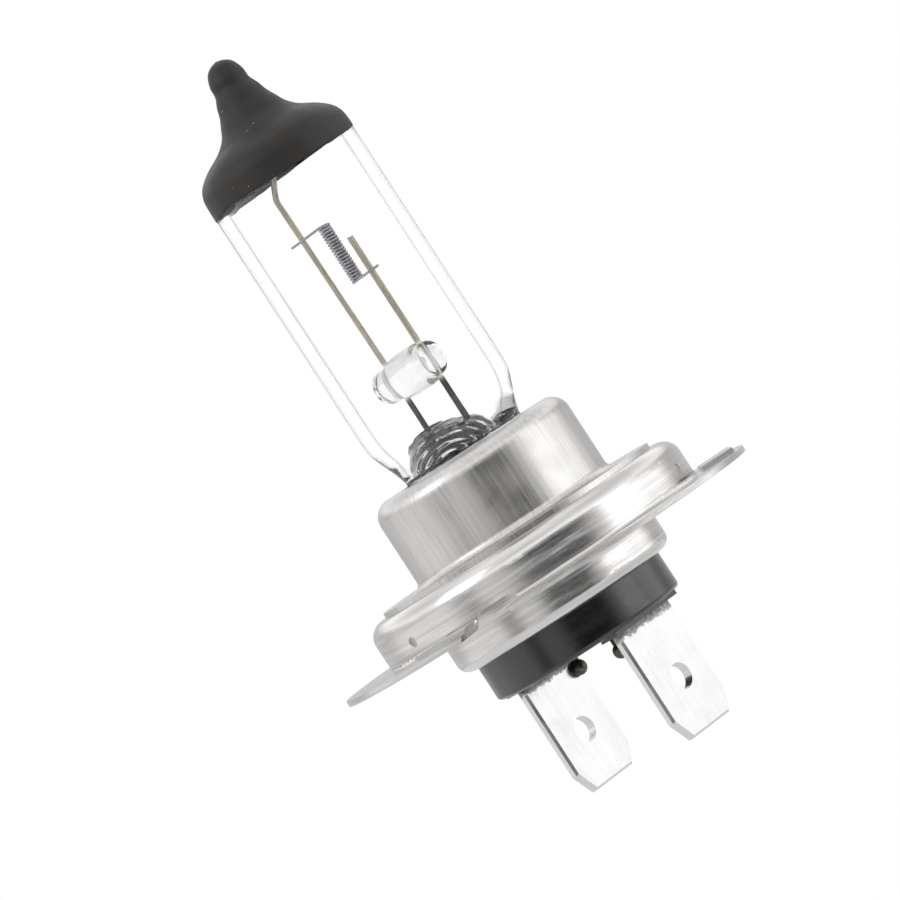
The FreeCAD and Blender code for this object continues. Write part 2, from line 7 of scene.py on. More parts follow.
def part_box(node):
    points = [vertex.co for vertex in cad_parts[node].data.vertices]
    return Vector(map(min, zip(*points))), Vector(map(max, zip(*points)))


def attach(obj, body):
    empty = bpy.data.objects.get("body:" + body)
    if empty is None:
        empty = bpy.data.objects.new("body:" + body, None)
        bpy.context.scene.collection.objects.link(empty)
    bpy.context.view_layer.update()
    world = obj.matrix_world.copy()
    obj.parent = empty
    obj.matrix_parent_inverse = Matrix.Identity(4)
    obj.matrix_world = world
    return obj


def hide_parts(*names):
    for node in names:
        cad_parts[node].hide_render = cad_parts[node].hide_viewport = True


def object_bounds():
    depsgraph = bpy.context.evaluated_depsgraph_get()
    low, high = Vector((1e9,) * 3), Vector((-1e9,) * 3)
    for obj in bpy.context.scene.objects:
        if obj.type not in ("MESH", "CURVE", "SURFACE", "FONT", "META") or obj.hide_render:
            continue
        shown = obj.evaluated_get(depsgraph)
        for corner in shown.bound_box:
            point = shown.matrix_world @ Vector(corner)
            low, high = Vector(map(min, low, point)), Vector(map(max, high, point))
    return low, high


MM = 0.001
UP = Vector((0.0, 0.0, 1.0))
WHITE = (1.0, 1.0, 1.0)

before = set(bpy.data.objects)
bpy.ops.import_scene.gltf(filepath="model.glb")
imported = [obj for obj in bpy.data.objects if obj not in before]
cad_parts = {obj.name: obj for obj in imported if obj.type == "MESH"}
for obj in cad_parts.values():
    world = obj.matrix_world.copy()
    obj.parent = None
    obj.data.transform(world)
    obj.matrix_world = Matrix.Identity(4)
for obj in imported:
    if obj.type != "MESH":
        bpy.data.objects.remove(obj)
cad_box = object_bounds()


# ---------------------------------------------------------------- camera

CAMERA_TOWARDS = Vector((0.72, -0.695, 0.0)).normalized()
CAMERA_ACROSS = Vector((0.695, 0.72, 0.0)).normalized()
CAMERA_TARGET = Vector((-0.59, -0.614, 10.76)) * MM
CAMERA_FACING = math.atan2(CAMERA_TOWARDS.y, CAMERA_TOWARDS.x)
CAMERA_DISTANCE = 0.330
CAMERA_ROLL = math.radians(33.0)
LENS_MM = 183.6
SENSOR_MM = 36.0


def place_camera():
    """A long lens, level with the bulb and rolled, so that the tip points up and to the left."""
    lens = bpy.data.cameras.new("camera")
    lens.lens = LENS_MM
    lens.sensor_width = SENSOR_MM
    lens.clip_start = 0.01
    lens.clip_end = 20.0
    camera = bpy.data.objects.new("camera", lens)
    bpy.context.scene.collection.objects.link(camera)
    right = CAMERA_ACROSS * math.cos(CAMERA_ROLL) - UP * math.sin(CAMERA_ROLL)
    above = UP * math.cos(CAMERA_ROLL) + CAMERA_ACROSS * math.sin(CAMERA_ROLL)
    turned = Matrix((right, above, CAMERA_TOWARDS)).transposed().to_4x4()
    turned.translation = CAMERA_TARGET + CAMERA_TOWARDS * CAMERA_DISTANCE
    camera.matrix_world = turned
    bpy.context.scene.camera = camera


# ---------------------------------------------------------------- node helpers


class Recipe:
    """A material, the world or a shape, put together from nodes."""

    def __init__(self, tree):
        self.tree = tree

    def add(self, kind, settings=None, **inputs):
        """A node with its settings, and its inputs set to values or joined to sockets."""
        made = self.tree.nodes.new(kind)
        for key, setting in (settings or {}).items():
            setattr(made, key, setting)
        for key, given in inputs.items():
            self.feed(made, key.replace("_", " "), given)
        return made

    def feed(self, made, key, given):
        """Sets or joins one input. Its key is its name, or "i" and its place in the list."""
        numbered = key[0] == "i" and key[1:].isdigit()
        socket = made.inputs[int(key[1:]) if numbered else key]
        if isinstance(given, bpy.types.NodeSocket):
            self.tree.links.new(given, socket)
        else:
            socket.default_value = given

    def math(self, operation, first, second=0.0):
        """One sum."""
        made = self.add("ShaderNodeMath", {"operation": operation}, i0=first, i1=second)
        return made.outputs[0]

    def ramp(self, factor, stops, smooth="LINEAR"):
        """A colour ramp. A stop is a place and a grey or a colour."""
        made = self.add("ShaderNodeValToRGB", Fac=factor)
        ramp = made.color_ramp
        ramp.interpolation = smooth
        while len(ramp.elements) < len(stops):
            ramp.elements.new(0.5)
        for element, (place, tone) in zip(ramp.elements, stops):
            element.position = place
            colour = tone if isinstance(tone, tuple) else (tone, tone, tone)
            element.color = (*colour, 1.0)
        return made.outputs["Color"]

    def where(self, stretch=(1.0, 1.0, 1.0)):
        """Millimetres on the bulb, stretched along each axis."""
        coordinates = self.add("ShaderNodeTexCoord").outputs["Object"]
        scale = tuple(s / MM for s in stretch)
        return self.add("ShaderNodeMapping", Vector=coordinates, Scale=scale).outputs["Vector"]

    def level(self):
        """Height on the bulb in millimetres."""
        return self.add("ShaderNodeSeparateXYZ", Vector=self.where()).outputs["Z"]

    def facing(self):
        """0 where a surface is seen square on, and 1 where it is seen edge on."""
        return self.add("ShaderNodeLayerWeight", Blend=0.5).outputs["Facing"]

    def between(self, amount, start, end):
        """0 up to the start, and 1 from the end on."""
        made = self.add("ShaderNodeMapRange", Value=amount, From_Min=start, From_Max=end)
        return made.outputs["Result"]

    def grain(self, stretch, size, detail=3.0, rough=0.55):
        """Noise in millimetres: the bigger the size, the finer the grain."""
        made = self.add(
            "ShaderNodeTexNoise",
            Vector=self.where(stretch),
            Scale=size,
            Detail=detail,
            Roughness=rough,
        )
        return made.outputs["Fac"]

    def cells(self, stretch, size):
        """Distance to the nearest of scattered points."""
        made = self.add("ShaderNodeTexVoronoi", Vector=self.where(stretch), Scale=size)
        return made.outputs["Distance"]

    def mix(self, factor, first, second, blend="MIX"):
        """Two colours mixed by a factor."""
        made = self.add("ShaderNodeMix", {"data_type": "RGBA", "blend_type": blend})
        self.feed(made, "i0", factor)
        self.feed(made, "i6", self.colour(first))
        self.feed(made, "i7", self.colour(second))
        return made.outputs[2]

    def colour(self, given):
        """A colour with its fourth number, or a socket as it is."""
        return (*given, 1.0) if isinstance(given, tuple) else given

    def bump(self, height, strength, depth_mm, under=None):
        """Surface relief from a height pattern."""
        made = self.add("ShaderNodeBump", Strength=strength, Distance=depth_mm * MM, Height=height)
        if under is not None:
            self.feed(made, "Normal", under)
        return made.outputs["Normal"]


def new_finish(name, colour, metal, rough, **uniform):
    """A material with one surface shader and its even values. Patterns may replace some."""
    material = bpy.data.materials.new(name)
    material.use_nodes = True
    shader = material.node_tree.nodes["Principled BSDF"]
    shader.inputs["Base Color"].default_value = (*colour, 1.0)
    shader.inputs["Metallic"].default_value = metal
    shader.inputs["Roughness"].default_value = rough
    for key, setting in uniform.items():
        shader.inputs[key.replace("_", " ")].default_value = setting
    return material, Recipe(material.node_tree), shader


def clear_glass(name, rough, ior):
    """A clear glass with nothing on it yet."""
    return new_finish(name, WHITE, 0.0, rough, Transmission_Weight=1.0, IOR=ior)


# ---------------------------------------------------------------- finishes

QUARTZ_IOR = 1.46
BRIDGE_IOR = 1.47


def quartz_skin():
    """The outside of clear fused quartz: faint draw lines, and painted shade in a soft grey line
    along its edge.
    """
    material, r, shader = clear_glass("quartz_skin", 0.0, QUARTZ_IOR)
    # Painted shade: the glass is tinted grey where it is seen edge on, which draws a soft line
    # along its edge.
    painted_shade_tint = r.ramp(r.facing(), [(0.0, 1.0), (0.60, 0.99), (0.80, 0.95), (0.93, 0.82), (1.0, 0.60)])
    streak = r.ramp(r.grain((0.9, 0.9, 0.05), 0.8, 2.0), [(0.38, 1.0), (0.60, 0.955)])
    r.feed(shader, "Base Color", r.mix(1.0, painted_shade_tint, streak, "MULTIPLY"))
    draw = r.grain((0.8, 0.8, 0.06), 0.9, 2.0)
    r.feed(shader, "Normal", r.bump(draw, 0.25, 0.03))
    return material


def quartz_bore():
    """The inside of the tube: clear, with painted shade in a thin dark line where the bore turns
    away.
    """
    material, r, shader = clear_glass("quartz_bore", 0.0, QUARTZ_IOR)
    # Painted shade: the bore is tinted dark where it is seen edge on, which draws a thin dark line.
    painted_shade_tint = r.ramp(r.facing(), [(0.0, 1.0), (0.52, 0.985), (0.68, 0.86), (0.80, 0.22), (1.0, 0.03)])
    r.feed(shader, "Base Color", painted_shade_tint)
    ripple = r.grain((0.7, 0.7, 0.10), 0.8, 2.0)
    r.feed(shader, "Normal", r.bump(ripple, 0.3, 0.03))
    return material


def pressed_glass(floor_level):
    """Glass pinched while soft: nested folds over the press seal, with painted shade in dark bands
    between bright ones.
    """
    material, r, shader = clear_glass("pressed_glass", 0.03, QUARTZ_IOR)
    coordinates = r.add("ShaderNodeTexCoord").outputs["Object"]
    turned = r.add(
        "ShaderNodeMapping",
        Vector=coordinates,
        Location=(0.0, 1.1, -floor_level),
        Rotation=(0.0, 0.0, -CAMERA_FACING),
        Scale=(1 / MM, 1 / MM, 1 / MM),
    ).outputs["Vector"]
    folds_and_painted_shade = r.add(
        "ShaderNodeTexWave",
        {"wave_type": "RINGS", "rings_direction": "X"},
        Vector=turned,
        Scale=0.52,
        Distortion=4.5,
        Detail=2.0,
        Detail_Scale=0.5,
    ).outputs["Fac"]
    # Painted shade: dark bands in the glass's tint follow the fold rings, which are turned to face
    # the camera's bearing.
    painted_shade_tint = r.ramp(folds_and_painted_shade, [(0.0, 0.08), (0.28, 0.36), (0.50, 0.92), (1.0, 1.0)])
    r.feed(shader, "Base Color", painted_shade_tint)
    r.feed(shader, "Normal", r.bump(folds_and_painted_shade, 0.7, 0.12))
    return material


def bridge_glass():
    """Glass melted round the two wires: clear, with soft waves, painted shade in a dark line along
    its edge, and small painted shadows.
    """
    material, r, shader = clear_glass("bridge_glass", 0.02, BRIDGE_IOR)
    # Painted shade: a dark line where the bar is seen edge on, and small painted shadows scattered
    # through the glass.
    painted_shade_tint = r.ramp(r.facing(), [(0.0, 0.97), (0.55, 0.90), (0.82, 0.55), (0.96, 0.12), (1.0, 0.04)])
    painted_shadow_patches = r.ramp(r.grain((0.5, 1.0, 1.0), 0.9, 2.0), [(0.35, 1.0), (0.7, 0.82)])
    r.feed(shader, "Base Color", r.mix(1.0, painted_shade_tint, painted_shadow_patches, "MULTIPLY"))
    r.feed(shader, "Normal", r.bump(r.grain((0.6, 1.0, 1.0), 0.7, 2.0), 0.35, 0.08))
    return material


def tip_paint():
    """Heat-proof blackout paint: brown-black and dull, with a fine grain, runs and pale specks."""
    material, r, shader = new_finish(
        "tip_coating", (0.02, 0.018, 0.016), 0.0, 0.5, Specular_IOR_Level=0.4
    )
    cloud = r.grain((1.0, 1.0, 0.6), 0.45, 4.0)
    tone = r.ramp(cloud, [(0.3, (0.007, 0.006, 0.0055)), (0.7, (0.017, 0.0145, 0.0125))])
    runs = r.ramp(r.grain((1.6, 1.6, 0.12), 1.0, 2.0), [(0.35, 0.82), (0.65, 1.08)])
    dust = r.ramp(r.cells((1.0, 1.0, 1.0), 0.9), [(0.0, 1.0), (0.035, 1.0), (0.05, 0.0)])
    tone = r.mix(1.0, tone, runs, "MULTIPLY")
    r.feed(shader, "Base Color", r.mix(dust, tone, (0.32, 0.29, 0.25)))
    r.feed(shader, "Roughness", r.ramp(cloud, [(0.3, 0.42), (0.7, 0.60)]))
    fine = r.bump(r.grain((1.0, 1.0, 1.0), 5.0, 3.0), 0.5, 0.03)
    r.feed(shader, "Normal", r.bump(r.grain((1.0, 1.0, 0.5), 1.1, 2.0), 0.4, 0.06, fine))
    return material


def drawn_tungsten():
    """Tungsten coil wire: grey with a violet tinge, and slightly rough."""
    material, r, shader = new_finish("tungsten", (0.30, 0.28, 0.33), 0.9, 0.38)
    cloud = r.grain((1.0, 1.0, 1.0), 2.2, 3.0)
    tone = r.ramp(cloud, [(0.3, (0.22, 0.205, 0.235)), (0.7, (0.50, 0.475, 0.53))])
    r.feed(shader, "Base Color", tone)
    r.feed(shader, "Roughness", r.ramp(cloud, [(0.3, 0.28), (0.7, 0.5)]))
    r.feed(shader, "Normal", r.bump(r.grain((3.0, 3.0, 3.0), 4.0, 2.0), 0.3, 0.02))
    return material


def support_metal(bridge_low, bridge_top):
    """Molybdenum rod: sooty below the bridge, painted pale as a painted highlight where the glass
    holds it, and tan above.
    """
    material, r, shader = new_finish("molybdenum", (0.3, 0.25, 0.18), 0.95, 0.36)
    level = r.level()
    rise = r.between(level, bridge_low - 0.1, bridge_low + 0.4)
    streak = r.grain((3.0, 3.0, 0.25), 1.6, 3.0)
    warm = r.ramp(streak, [(0.3, (0.22, 0.195, 0.145)), (0.7, (0.46, 0.42, 0.335))])
    sooty = r.ramp(streak, [(0.3, (0.012, 0.011, 0.012)), (0.7, (0.05, 0.045, 0.045))])
    middle = (bridge_low + bridge_top) / 2
    off_middle = r.math("ABSOLUTE", r.math("SUBTRACT", level, middle))
    half = (bridge_top - bridge_low) / 2
    # Painted highlight: inside the bridge the wire takes a pale silver, standing in for the bright
    # light on it through the glass.
    painted_highlight_in_bridge = r.between(off_middle, half - 0.1, half - 0.45)
    open_air = r.mix(rise, sooty, warm)
    r.feed(shader, "Base Color", r.mix(painted_highlight_in_bridge, open_air, (0.80, 0.79, 0.76)))
    r.feed(shader, "Roughness", r.ramp(streak, [(0.3, 0.26), (0.7, 0.46)]))
    r.feed(shader, "Normal", r.bump(streak, 0.25, 0.02))
    return material


def seal_metal():
    """Molybdenum foil pressed in the seal, with fine wrinkles."""
    material, r, shader = new_finish("sealing_foil", (0.45, 0.42, 0.38), 1.0, 0.3)
    wrinkle = r.grain((0.5, 1.0, 1.6), 1.4, 4.0)
    tone = r.ramp(wrinkle, [(0.3, (0.22, 0.20, 0.18)), (0.7, (0.62, 0.58, 0.52))])
    r.feed(shader, "Base Color", tone)
    r.feed(shader, "Roughness", r.ramp(wrinkle, [(0.3, 0.22), (0.7, 0.42)]))
    r.feed(shader, "Normal", r.bump(wrinkle, 0.5, 0.03))
    return material


def collar_steel():
    """Deep-drawn stainless: satin, with fine lines up the wall and small handling marks."""
    material, r, shader = new_finish("satin_steel", (0.62, 0.61, 0.60), 1.0, 0.30, Anisotropic=0.35)
    lines = r.grain((5.0, 5.0, 0.12), 1.4, 4.0, 0.65)
    patch = r.grain((0.35, 0.35, 0.5), 0.9, 2.0)
    tone = r.ramp(lines, [(0.3, (0.47, 0.46, 0.45)), (0.7, (0.64, 0.63, 0.62))])
    r.feed(shader, "Base Color", tone)
    lined = r.ramp(lines, [(0.3, 0.24), (0.7, 0.38)])
    handled = r.ramp(patch, [(0.35, 0.26), (0.65, 0.40)])
    r.feed(shader, "Roughness", r.mix(0.5, lined, handled))
    marks = r.ramp(r.cells((1.0, 1.0, 2.4), 1.3), [(0.0, 0.0), (0.06, 0.8), (0.12, 1.0)])
    waves = r.bump(r.grain((0.5, 0.5, 0.5), 0.6, 2.0), 0.3, 0.08)
    r.feed(shader, "Normal", r.bump(marks, 0.2, 0.015, r.bump(lines, 0.12, 0.015, waves)))
    return material


def flange_steel():
    """Bright rolled stainless: clear reflections, bent by press marks running round the wall."""
    material, r, shader = new_finish("polished_steel", (0.70, 0.69, 0.68), 1.0, 0.16)
    bands = r.grain((0.12, 0.12, 3.4), 0.8, 3.0, 0.6)
    drift = r.math("MULTIPLY", r.grain((0.10, 0.10, 0.2), 0.8, 1.0), 2.2)
    rolled = r.math("SINE", r.math("ADD", r.math("MULTIPLY", r.level(), 1.7), drift))
    fine = r.grain((1.2, 1.2, 9.0), 1.6, 3.0)
    tone = r.ramp(bands, [(0.3, (0.50, 0.49, 0.48)), (0.7, (0.68, 0.67, 0.66))])
    r.feed(shader, "Base Color", tone)
    r.feed(shader, "Roughness", r.ramp(fine, [(0.3, 0.17), (0.7, 0.26)]))
    waves = r.bump(r.grain((0.22, 0.22, 0.8), 0.8, 2.0), 0.5, 0.12)
    pressed = r.bump(rolled, 0.7, 0.08, waves)
    r.feed(shader, "Normal", r.bump(fine, 0.06, 0.01, r.bump(bands, 0.3, 0.04, pressed)))
    return material


def clip_metal():
    """Spring steel strip, dull from hardening."""
    material, r, shader = new_finish("clip_steel", (0.5, 0.49, 0.47), 1.0, 0.36)
    scale = r.grain((1.0, 1.0, 1.0), 1.6, 4.0)
    tone = r.ramp(scale, [(0.3, (0.30, 0.29, 0.27)), (0.7, (0.58, 0.56, 0.53))])
    r.feed(shader, "Base Color", tone)
    r.feed(shader, "Roughness", r.ramp(scale, [(0.3, 0.28), (0.7, 0.5)]))
    r.feed(shader, "Normal", r.bump(scale, 0.3, 0.02))
    return material


def base_plastic():
    """Glossy black moulded resin, with flow lines and a little dust."""
    material, r, shader = new_finish(
        "black_base", (0.008, 0.008, 0.009), 0.0, 0.16, Specular_IOR_Level=0.75
    )
    flow = r.grain((0.5, 0.5, 1.4), 0.8, 3.0)
    dust = r.ramp(r.cells((1.0, 1.0, 1.0), 2.1), [(0.0, 1.0), (0.05, 0.6), (0.075, 0.0)])
    tone = r.ramp(flow, [(0.3, (0.0035, 0.0035, 0.004)), (0.7, (0.009, 0.009, 0.0095))])
    r.feed(shader, "Base Color", r.mix(dust, tone, (0.10, 0.095, 0.09)))
    r.feed(shader, "Roughness", r.ramp(flow, [(0.3, 0.12), (0.7, 0.24)]))
    fine = r.bump(r.grain((1.0, 1.0, 1.0), 6.0, 3.0), 0.2, 0.015)
    r.feed(shader, "Normal", r.bump(flow, 0.3, 0.06, fine))
    return material


def tab_plating(blade_top):
    """Tinned brass tabs: bright and rolled along their length, with a rough ragged band at the top
    darkened by painted shade of the black base.
    """
    material, r, shader = new_finish("plated_blade", (0.88, 0.87, 0.85), 1.0, 0.27)
    rolled = r.grain((6.0, 6.0, 0.15), 1.0, 4.0, 0.6)
    cloud = r.grain((0.6, 0.6, 0.4), 0.8, 3.0)
    ragged = r.grain((1.0, 1.0, 1.0), 1.8, 4.0, 0.7)
    edge = r.math("ADD", r.level(), r.math("MULTIPLY", ragged, 1.2))
    # Painted shade: a ragged dark band along the top of each tab, next to the black base, stands
    # for the base's shadow and reflection on it.
    rise = r.between(edge, blade_top + 0.05, blade_top + 0.3)
    clean = r.ramp(rolled, [(0.3, (0.59, 0.587, 0.585)), (0.7, (0.64, 0.637, 0.635))])
    painted_base_shade = r.ramp(ragged, [(0.35, (0.12, 0.115, 0.11)), (0.65, (0.46, 0.45, 0.43))])
    r.feed(shader, "Base Color", r.mix(rise, clean, painted_base_shade))
    smooth = r.ramp(cloud, [(0.3, 0.20), (0.7, 0.34)])
    r.feed(shader, "Roughness", r.mix(rise, smooth, (0.62, 0.62, 0.62)))
    relief = r.bump(r.math("MULTIPLY", ragged, rise), 0.8, 0.10)
    r.feed(shader, "Normal", r.bump(rolled, 0.18, 0.015, relief))
    return material


def weld_bead():
    """Weld metal: dark and scaly, with bright spots where it froze last."""
    material, r, shader = new_finish("weld_metal", (0.12, 0.11, 0.10), 1.0, 0.4)
    scale = r.grain((1.0, 1.0, 1.0), 2.6, 4.0, 0.65)
    dark, plain, bright = (0.022, 0.02, 0.019), (0.13, 0.115, 0.10), (0.60, 0.56, 0.5)
    r.feed(shader, "Base Color", r.ramp(scale, [(0.30, dark), (0.60, plain), (0.75, bright)]))
    r.feed(shader, "Roughness", r.ramp(scale, [(0.3, 0.25), (0.7, 0.6)]))
    r.feed(shader, "Normal", r.bump(scale, 0.6, 0.06))
    return material


# ---------------------------------------------------------------- mesh helpers


def spline_through(points, steps):
    """A smooth line through the points, as a list of points."""
    line = []
    count = len(points)
    for i in range(count - 1):
        before = points[max(i - 1, 0)]
        after = points[min(i + 2, count - 1)]
        for step in range(steps):
            spans = zip(before, points[i], points[i + 1], after)
            line.append(tuple(catmull(*span, step / steps) for span in spans))
    line.append(tuple(points[-1]))
    return line


def catmull(a, b, c, d, t):
    """One number of a Catmull-Rom line, between b and c."""
    square = (2 * a - 5 * b + 4 * c - d) * t * t
    cube = (3 * b - a - 3 * c + d) * t ** 3
    return 0.5 * (2 * b + (c - a) * t + square + cube)


def shell_of(rings, foot, crown):
    """Vertices and faces of a closed skin over rings, from the foot pole up to the crown pole."""
    around = len(rings[0])
    verts = [foot]
    for ring in rings:
        verts.extend(ring)
    verts.append(crown)
    faces = []
    for j in range(around):
        faces.append((0, 1 + (j + 1) % around, 1 + j))
    for i in range(len(rings) - 1):
        low = 1 + i * around
        high = low + around
        for j in range(around):
            k = (j + 1) % around
            faces.append((low + j, low + k, high + k, high + j))
    top = 1 + (len(rings) - 1) * around
    last = len(verts) - 1
    for j in range(around):
        faces.append((top + j, top + (j + 1) % around, last))
    return verts, faces


def mesh_piece(name, verts, faces, material):
    """A smooth-shaded object from millimetres. Its place is in its mesh."""
    mesh = bpy.data.meshes.new(name)
    mesh.from_pydata([tuple(c * MM for c in v) for v in verts], [], faces)
    mesh.materials.append(material)
    mesh.polygons.foreach_set("use_smooth", [True] * len(mesh.polygons))
    mesh.update()
    piece = bpy.data.objects.new(name, mesh)
    bpy.context.scene.collection.objects.link(piece)
    return piece


def settle(piece, slot, *nodes):
    """The piece stands for CAD nodes, which it hides, and rides on the one body. The slot is not
    used.
    """
    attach(piece, "root")
    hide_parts(*nodes)


def millimetres(node):
    """Lowest and highest corners of a CAD node in millimetres."""
    low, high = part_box(node)
    return Vector(low) / MM, Vector(high) / MM


# ---------------------------------------------------------------- glass and its coating

AROUND = 144  # points in a ring
TUBE_RADIUS = 6.0
SKIN_INSET = 0.005  # keeps the skin inside the CAD outline
WALL = 0.93
TIP_LEAN = 0.22
PAINT_DROP = 2.15  # the paint's edge is this far below the shoulder
TUBE_DROP = 2.2  # and the straight tube ends this far below it
BORE_DROP = 2.0
PAINT_FOOT = 0.004  # gap between the paint and the glass
PAINT_COAT = 0.05  # outside of the paint, from the glass
BLEND_ROWS = 6  # rows of paint that even out its ragged edge
FLOOR_ROWS = 44  # rows of the gas space over the pressed glass


def skin_profile(shoulder, radius, top):
    """Height and radius of the glass from the tube up over the shoulder to the sealed-off tip."""
    outline = [
        (shoulder - TUBE_DROP, radius),
        (shoulder - 1.4, radius - 0.01),
        (shoulder - 0.7, radius - 0.10),
        (shoulder, radius - 0.46),
        (shoulder + 0.72, radius - 1.31),
        (shoulder + 1.44, radius - 2.55),
        (shoulder + 2.16, radius - 3.31),
        (shoulder + 2.88, radius - 3.70),
        (shoulder + 3.60, radius - 4.06),
        (shoulder + 4.32, radius - 4.29),
        (shoulder + 5.04, radius - 4.60),
        (shoulder + 5.76, radius - 4.645),
        (shoulder + 6.48, radius - 4.90),
        (top - 0.30, 0.80),
        (top - 0.08, 0.42),
    ]
    return spline_through(outline, 5)


def lean_at(up, shoulder):
    """How far the tip has moved to one side at a height."""
    share = min(max((up - shoulder) / 2.5, 0.0), 1.0)
    return TIP_LEAN * share * share * (3 - 2 * share)


def ring_points(up, radius, lean, square=2.0, flat=1.0, wobble=0.0):
    """A closed ring at a height: round, or a flat rounded bar where it is squared off."""
    side = CAMERA_ACROSS * lean
    ring = []
    for j in range(AROUND):
        angle = 2 * math.pi * j / AROUND
        across = math.copysign(abs(math.cos(angle)) ** (2 / square), math.cos(angle))
        deep = math.copysign(abs(math.sin(angle)) ** (2 / square), math.sin(angle))
        reach = radius + wobble * noise.noise(Vector((2.2 * across, 2.2 * deep, 0.5 * up)))
        ring.append((reach * across + side.x, reach * flat * deep + side.y, up))
    return ring


def glass_rings(low, high, shoulder, collar_top):
    """The outside of the glass: pressed bar, neck, tube, shoulder and tip."""
    rings = []
    half_width = high.x - 1.3
    thickness = 0.447
    bar = (low.z + 0.02, low.z + 0.15, low.z + 0.4, 3.0, 6.0, collar_top - 1.4, collar_top - 0.9)
    for up in bar:
        inset = 0.25 if up < low.z + 0.1 else 0.0
        rings.append(ring_points(up, half_width - inset, 0.0, 5.0, thickness))
    for up, reach, square, flat in (
        (collar_top - 0.6, 4.74, 3.6, 0.60),
        (collar_top - 0.3, 4.80, 2.8, 0.80),
        (collar_top, 4.85, 2.2, 0.95),
    ):
        rings.append(ring_points(up, reach, 0.0, square, flat))
    neck = [
        (collar_top, 4.85),
        (collar_top + 0.35, 4.87),
        (collar_top + 1.2, 5.12),
        (collar_top + 2.4, 5.60),
        (collar_top + 3.3, 5.90),
        (collar_top + 4.2, 5.985),
        (collar_top + 5.2, 5.995),
    ]
    for up, reach in spline_through(neck, 5)[1:]:
        rings.append(ring_points(up, reach, 0.0))
    radius = high.x - SKIN_INSET
    rings.extend(straight_rings(neck[-1][0], shoulder - TUBE_DROP, radius, 24))
    for up, reach in skin_profile(shoulder, radius, high.z):
        rings.append(ring_points(up, reach, lean_at(up, shoulder)))
    return rings


def straight_rings(start, end, radius, steps):
    """Rings of the straight tube, without the first and the last."""
    rings = []
    for i in range(1, steps):
        rings.append(ring_points(start + (end - start) * i / steps, radius, 0.0))
    return rings


def cavity_rings(radius, shoulder, collar_top):
    """The gas space, from the ripples round the pressed floor up to the inside of the tip."""
    inside = radius - WALL
    floor = [
        (collar_top + 3.02, 0.5),
        (collar_top + 2.90, 1.1),
        (collar_top + 2.62, 1.8),
        (collar_top + 2.30, 2.4),
        (collar_top + 1.75, 3.0),
        (collar_top + 0.95, 3.42),
        (collar_top + 0.15, 3.66),
        (collar_top - 0.15, 3.84),
        (collar_top + 0.10, 4.02),
        (collar_top + 1.25, 4.34),
        (collar_top + 2.6, 4.78),
        (collar_top + 3.6, 5.02),
        (collar_top + 4.6, inside),
    ]
    rings = []
    for up, reach in spline_through(floor, 6):
        share = max(0.0, 1.0 - reach / 4.0)
        lean = -0.35 - 0.9 * min(1.0, 2 * share)
        fade = 1.0 if up < collar_top + 0.6 else max(0.0, 1.0 - max(0.0, reach - 3.98) / 0.6)
        rings.append(rippled(ring_points(up, reach, lean * fade), min(1.0, 3 * share)))
    rings.extend(straight_rings(floor[-1][0], shoulder - BORE_DROP, inside, 16))
    crown = [
        (shoulder - BORE_DROP, inside),
        (shoulder - 1.2, inside - 0.12),
        (shoulder - 0.4, inside - 0.62),
        (shoulder + 0.3, inside - 1.6),
        (shoulder + 0.9, inside - 2.8),
        (shoulder + 1.8, inside - 3.7),
        (shoulder + 2.6, 0.5),
    ]
    for up, reach in spline_through(crown, 5):
        rings.append(ring_points(up, reach, lean_at(up, shoulder)))
    return rings


def rippled(ring, strength):
    """A ring of the pressed floor, lifted and dropped along uneven folds."""
    folded = []
    for x, y, up in ring:
        drift = noise.noise(Vector((0.45 * x, 0.45 * y, 1.7)))
        reach = math.hypot(x + 0.9, y + 0.9)
        fold = math.sin(8.0 * reach + 6.0 * drift) + 0.55 * math.sin(19.0 * reach + 11.0 * drift)
        folded.append((x, y, up + 0.06 * strength * fold))
    return folded


def glass_bulb(skin_finish, bore_finish, floor_finish):
    """The quartz bulb: one skin outside, and one round the gas space, facing into it."""
    low, high = millimetres("glass_envelope")
    collar_top = millimetres("collar")[1].z
    shoulder = millimetres("tip_coating")[0].z + PAINT_DROP
    outside = glass_rings(low, high, shoulder, collar_top)
    side = CAMERA_ACROSS * TIP_LEAN
    verts, faces = shell_of(outside, (0.0, 0.0, low.z + 0.02), (side.x, side.y, high.z))
    inside = cavity_rings(high.x, shoulder, collar_top)
    dome = -1.25 * CAMERA_ACROSS
    foot = (dome.x, dome.y, collar_top + 3.05)
    gas, skin = shell_of(inside, foot, (side.x, side.y, shoulder + 2.75))
    first = len(verts)
    outer_faces = len(faces)
    verts.extend(gas)
    faces.extend(tuple(first + i for i in reversed(face)) for face in skin)
    piece = mesh_piece("glass_bulb", verts, faces, skin_finish)
    piece.data.materials.append(bore_finish)
    piece.data.materials.append(floor_finish)
    floor_start = outer_faces + AROUND
    floor_end = outer_faces + FLOOR_ROWS * AROUND
    for face in piece.data.polygons[outer_faces:]:
        face.material_index = 2 if floor_start <= face.index < floor_end else 1
    settle(piece, "quartz_glass", "glass_envelope")


